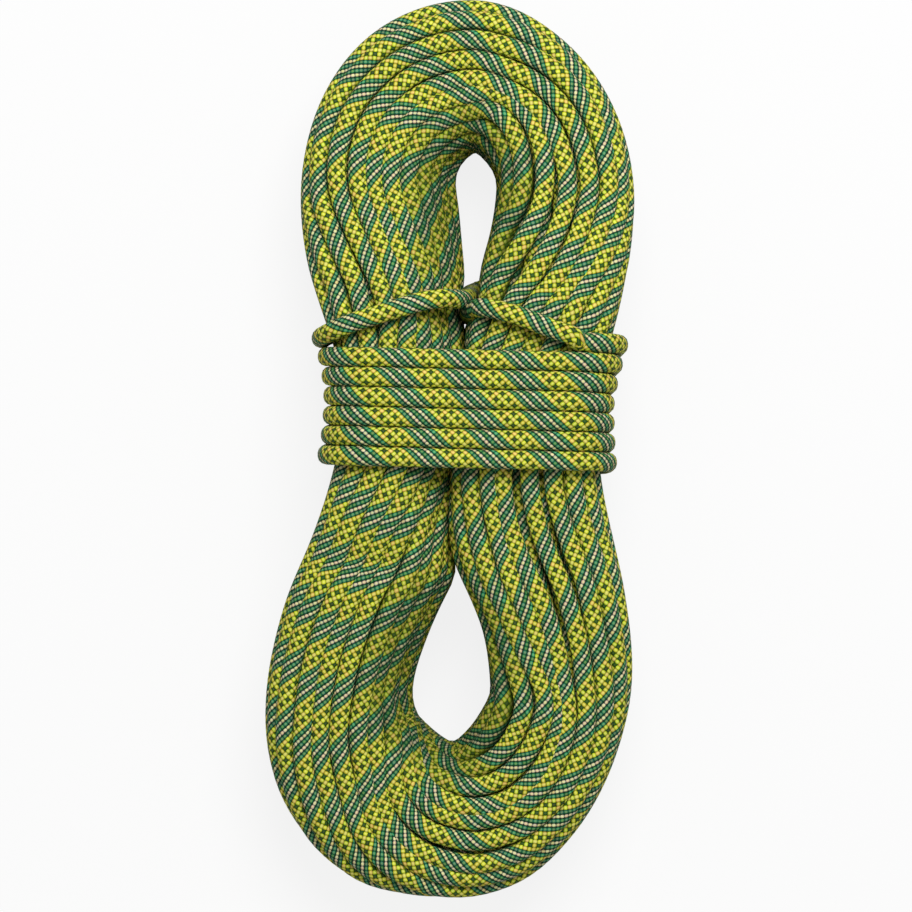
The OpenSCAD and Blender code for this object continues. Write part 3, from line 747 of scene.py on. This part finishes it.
def rope_route(sizes):
    """The whole rope: points, outward normals, the stretch of each and the length of a waist turn."""
    hank = Hank(sizes)
    laps, lap_normals, in_outer_layer = lap_route(hank, sizes)
    turns, turn_normals, turn_length = turn_route(hank, sizes)
    # Both ends meet the sheaths of the rope ends
    along = distances(laps)
    start, onward = tail_end(INNER_END)
    free = smooth((along - 6 * MM) / (70 * MM))[:, None]
    laps = (start + onward * along[:, None]) * (1 - free) + laps * free
    end, _ = tail_end(OUTER_END)
    tuck = np.array(LOCK_TUCK) * MM
    tuck[-2:] += end - tuck[-2]
    # Both free stretches start at the last point before them, in the direction of a point a little earlier
    lead = curved(np.concatenate([laps[-12::11], np.array(LEAD_IN) * MM, turns[:2]]))
    tuck = curved(np.concatenate([turns[-6::5], tuck]))
    down = np.tile([0.0, 0.0, -1.0], (len(lead), 1))
    down[0] = lap_normals[-1]
    tuck_normals = np.tile(turn_normals[-1], (len(tuck), 1))
    parts = [resampled(*part) for part in (
        (laps, lap_normals), (lead, down), (turns, turn_normals), (tuck, tuck_normals))]
    points, normals = (
        np.concatenate([part[i][:-1] for part in parts] + [parts[-1][i][-1:]]) for i in range(2))
    points = softened(points, 4)
    outer = np.interp(np.arange(len(parts[0][0])) * STEP, along, in_outer_layer.astype(float)) > 0.5
    later = [np.full(len(part[0]) - 1, stretch) for stretch, part in zip((LEAD, TURNS, TUCK), parts[1:])]
    stretches = np.concatenate([np.where(outer, OUTER_LAPS, INNER_LAPS)[:-1], *later, [TUCK]])
    # The tuck's outward side faces away from the left bundle, and up where it crosses the right one
    tuck_at = np.argmax(stretches == TUCK)
    x, z = points[tuck_at:, 0] / MM, points[tuck_at:, 2] / MM
    middle_x = np.clip(x, -45, -2)
    middle_x += np.clip(x - middle_x, 0, None) * smooth((x - 11) / 12)
    normals[tuck_at:] = unit(np.column_stack([x - middle_x, 0 * x, z - 52]))
    return points, softened(normals, 3), stretches, turn_length


def facing_eye(points, normals, sizes):
    """How far the laps' outward sides face into the eye of their lobe, from 0 to 1, which weighs their
    painted shade.
    """
    eyes = np.where(points[:, 1:2] > sizes.neck_y, (sizes.upper_eye_x, sizes.upper_eye_y),
                    (sizes.lower_eye_x, sizes.lower_eye_y))
    to_eye = eyes - points[:, :2]
    return smooth((normals[:, :2] * to_eye).sum(1) / np.linalg.norm(to_eye, axis=1) * 1.2)


def tube(points, normals, stretches, sizes, turn_length):
    """Rings along the route, closed at both ends, with a map: once around, once for each lead."""
    keep = [0]
    while keep[-1] < len(points) - 1:
        keep.append(min(keep[-1] + RING_STEPS[stretches[keep[-1]]], len(points) - 1))
    middles, stretch = points[keep], stretches[keep]
    forward = unit(np.gradient(points, axis=0)[keep])
    outward = unit(normals[keep] - forward * (normals[keep] * forward).sum(1)[:, None])
    sideways = np.cross(forward, outward)
    power = softened(np.choose(stretch, SQUARE)[:, None], 6)
    half = softened((np.choose(stretch, HALF_WIDTH) * MM)[:, None], 6)
    angle = (np.arange(SIDES) + 0.5) * math.tau / SIDES
    cosine, sine = np.cos(angle)[None], np.sin(angle)[None]
    radius = half / (np.abs(cosine) ** power + np.abs(sine) ** power) ** (1 / power)
    rings = middles[:, None] + radius[..., None] * (
        cosine[..., None] * outward[:, None] + sine[..., None] * sideways[:, None])
    rings[..., 2] = np.maximum(rings[..., 2], 0)
    mesh = bmesh.new()
    uv = mesh.loops.layers.uv.new(ROPE_MAP)
    shade = mesh.verts.layers.float.new(PAINTED_EYE_SHADE)
    verts = [[mesh.verts.new(place) for place in ring] for ring in rings]
    # Painted shade in the eyes: each ring of laps that faces into an eye gets a weight for a darker colour
    for ring, value in zip(verts, np.where(stretch <= OUTER_LAPS, facing_eye(middles, outward, sizes), 0)):
        for vert in ring:
            vert[shade] = value
    along = distances(points)
    leads = (along[keep] - along[np.argmax(stretches == TUCK)]) / (turn_length / TURN_LEADS) + TUCK_LEAD
    for i, (ring, following) in enumerate(zip(verts, verts[1:])):
        for j in range(SIDES):
            after = (j + 1) % SIDES
            face = mesh.faces.new((ring[j], ring[after], following[after], following[j]))
            face.smooth = True
            for loop, (side, end) in zip(face.loops, ((j, i), (j + 1, i), (j + 1, i + 1), (j, i + 1))):
                loop[uv].uv = ((side + 0.5) / SIDES, leads[end])
    for ring, order in ((verts[0], -1), (verts[-1], 1)):
        cap = mesh.faces.new(ring[::order])
        for loop in cap.loops:
            loop[uv].uv = (0.5, 0.5)
    return mesh


def finished(name, mesh, material):
    """A piece made of a mesh and its material."""
    data = bpy.data.meshes.new(name)
    mesh.to_mesh(data)
    mesh.free()
    piece = bpy.data.objects.new(name, data)
    bpy.context.scene.collection.objects.link(piece)
    data.materials.append(material)
    return piece


# ---- Materials of the rope ends ----

# Lead of the braid's spiral on the straight rope ends
END_LEAD = 32.2 * MM


def end_sheath(end, colours):
    """The braid around the straight axis of a rope end."""
    tail = middle(end + "sheath")
    on = middle(end + "seal") - tail
    material, shader, start = new_material(end + "sheath")
    where = start.node("ShaderNodeTexCoord", out=3)
    moved = start.node("ShaderNodeMapping", {"vector_type": "TEXTURE"}, {
        "Vector": where, "Location": tuple(tail), "Rotation": (0, 0, math.atan2(on[1], on[0]))})
    x, y, z = moved.parts()
    braid(start, shader, colours, z.math("ARCTAN2", z, y) / math.tau, x / END_LEAD)
    return material


def textured(name, texture, dark, pale, settings=None, **inputs):
    """A material that runs from dark to pale with a texture, its shader and the texture's value."""
    material, shader, start = new_material(name)
    where = start.node("ShaderNodeTexCoord", out=3)
    value = start.node(texture, settings, {"Vector": where, **inputs})
    value.mix(dark, pale).feed(shader, "Base Color")
    return material, shader, value


def plain(name, rgb, rough):
    """A smooth finish with a slight unevenness."""
    dark = [part * 0.86 for part in rgb]
    material, shader, noise = textured(name, "ShaderNodeTexNoise", dark, rgb, Scale=900.0, Detail=3.0)
    (rough + noise * 0.2).feed(shader, "Roughness")
    return material


def fused_seal(rgb):
    """Molten and set yarn."""
    dark, pale = [part * 0.35 for part in rgb], [min(1, part * 2.2) for part in rgb]
    material, shader, noise = textured(
        "fused_seal", "ShaderNodeTexNoise", dark, pale, Scale=420.0, Detail=5.0)
    relief(shader, noise, 0.6, 0.5 * MM)
    shader.inputs["Roughness"].default_value = 0.38
    return material


def core_strand(rgb):
    """Twisted core yarn."""
    dark, slanted = [part * 0.8 for part in rgb], {"bands_direction": "DIAGONAL"}
    material, shader, twist = textured(
        "core_strand", "ShaderNodeTexWave", dark, rgb, slanted, Scale=400.0, Distortion=0.6)
    relief(shader, twist, 0.5, 0.2 * MM)
    shader.inputs["Roughness"].default_value = 0.8
    return material


# ---- Operators ----

class HANK_OT_camera(bpy.types.Operator):
    """Sets the camera straight above the hank"""
    bl_idname = "hank.camera"
    bl_label = "Camera"

    def execute(self, context):
        # A long lens high above the hank, a little to the right of its middle and below it
        data = bpy.data.cameras.new("camera")
        data.sensor_width = 36
        data.lens = 178.92
        data.clip_end = 20
        camera = bpy.data.objects.new("camera", data)
        camera.location = (3.4 * MM, -3.4 * MM, 2.4)
        context.scene.collection.objects.link(camera)
        context.scene.camera = camera
        return {"FINISHED"}


class HANK_OT_rope(bpy.types.Operator):
    """Winds the rope: inner laps, outer laps, waist turns and the lock through the upper eye"""
    bl_idname = "hank.rope"
    bl_label = "Rope"

    def execute(self, context):
        sizes, colours = context.scene.rope_sizes, context.scene.sheath_colours
        material, shader, start = new_material("braided_sheath")
        around, along, _ = start.node("ShaderNodeUVMap", {"uv_map": ROPE_MAP}).parts()
        # The weight of the painted shade in the eyes
        deep = start.node("ShaderNodeAttribute", {"attribute_name": PAINTED_EYE_SHADE}, out=2)
        braid(start, shader, colours, around, along, deep)
        points, normals, stretches, turn_length = rope_route(sizes)
        rope = finished("rope", tube(points, normals, stretches, sizes, turn_length), material)
        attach(rope, "root")
        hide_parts("hank_core", "hank_loops", "lead_in", "waist_wrap", "lock_tuck")
        return {"FINISHED"}


class HANK_OT_ends(bpy.types.Operator):
    """Dresses the rope ends: sheath, sleeve, fused seal, core strands and marker tape"""
    bl_idname = "hank.ends"
    bl_label = "Rope ends"

    def execute(self, context):
        colours = context.scene.sheath_colours
        shared = {
            "seal": fused_seal(colours.seal),
            "sleeve": plain("shrunk_sleeve", colours.sleeve, 0.32),
            "marker_tape": plain("marker_tape", colours.tape, 0.5),
            **dict.fromkeys((f"strand_{i + 1}" for i in range(12)), core_strand(colours.core)),
        }
        for end in ENDS:
            for piece, material in {"sheath": end_sheath(end, colours), **shared}.items():
                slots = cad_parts[end + piece].data.materials
                slots.clear()
                slots.append(material)
        return {"FINISHED"}


class HANK_OT_stage(bpy.types.Operator):
    """Sets the pale floor and the soft light"""
    bl_idname = "hank.stage"
    bl_label = "Stage"

    def execute(self, context):
        scene = context.scene
        # The floor lies just under the lowest laps
        mesh = bmesh.new()
        bmesh.ops.create_grid(mesh, x_segments=1, y_segments=1, size=6)
        bmesh.ops.translate(mesh, vec=(0, 0, -0.2 * MM), verts=mesh.verts)
        material, shader, start = new_material("pale_floor")
        shader.inputs["Roughness"].default_value = 0.9
        shader.inputs["Specular IOR Level"].default_value = 0.0
        rays = start.node("ShaderNodeLightPath").socket.node.outputs
        camera, glossy, passing = (
            Value(start.tree, rays[f"Is {kind} Ray"]) for kind in ("Camera", "Glossy", "Transmission"))
        seen = camera + glossy + passing
        # Pale where it is seen, and darker for the light that it throws back at the rope
        seen.mix((0.3,) * 3, (0.8,) * 3).feed(shader, "Base Color")
        white = start.node("ShaderNodeEmission")
        both = start.node("ShaderNodeMixShader", inputs={
            0: seen * 0.85, 1: Value(start.tree, shader.outputs[0]), 2: white})
        both.feed(start.tree.nodes["Material Output"], "Surface")
        finished("floor", mesh, material)
        scene.world = bpy.data.worlds.new("studio")
        scene.world.use_nodes = True
        sky = scene.world.node_tree.nodes["Background"]
        sky.inputs["Color"].default_value = (1, 1, 1, 1)
        sky.inputs["Strength"].default_value = 0.42
        # A wide soft lamp above, nearer to the upper lobe
        data = bpy.data.lights.new("overhead", "AREA")
        data.shape = "DISK"
        data.size = 1
        data.energy = 25.5
        lamp = bpy.data.objects.new("overhead", data)
        lamp.location = (0.2, 0.8, 1.6)
        lamp.rotation_euler = (-Vector(lamp.location)).to_track_quat("-Z", "Y").to_euler()
        scene.collection.objects.link(lamp)
        scene.view_settings.view_transform = "Standard"
        return {"FINISHED"}


class HANK_PT_panel(bpy.types.Panel):
    """Lists the sizes, the colours and the steps of the build"""
    bl_label = "Rope Hank"
    bl_idname = "HANK_PT_panel"
    bl_space_type = "VIEW_3D"
    bl_region_type = "UI"
    bl_category = "Rope Hank"

    def draw(self, context):
        for group in (context.scene.rope_sizes, context.scene.sheath_colours):
            for name in group.__annotations__:
                self.layout.prop(group, name)
        for operator in OPERATORS:
            self.layout.operator(operator.bl_idname)


OPERATORS = (HANK_OT_camera, HANK_OT_rope, HANK_OT_ends, HANK_OT_stage)
CLASSES = (RopeSizes, SheathColours, *OPERATORS, HANK_PT_panel)


def register():
    """Adds the classes and the two groups of settings."""
    for item in CLASSES:
        bpy.utils.register_class(item)
    bpy.types.Scene.rope_sizes = bpy.props.PointerProperty(type=RopeSizes)
    bpy.types.Scene.sheath_colours = bpy.props.PointerProperty(type=SheathColours)


def unregister():
    """Takes them away again."""
    del bpy.types.Scene.sheath_colours
    del bpy.types.Scene.rope_sizes
    for item in reversed(CLASSES):
        bpy.utils.unregister_class(item)


def main():
    """Builds the scene step by step."""
    register()
    bpy.ops.hank.camera()
    bpy.ops.hank.rope()
    bpy.ops.hank.ends()
    bpy.ops.hank.stage()


if __name__ == "__main__":
    main()
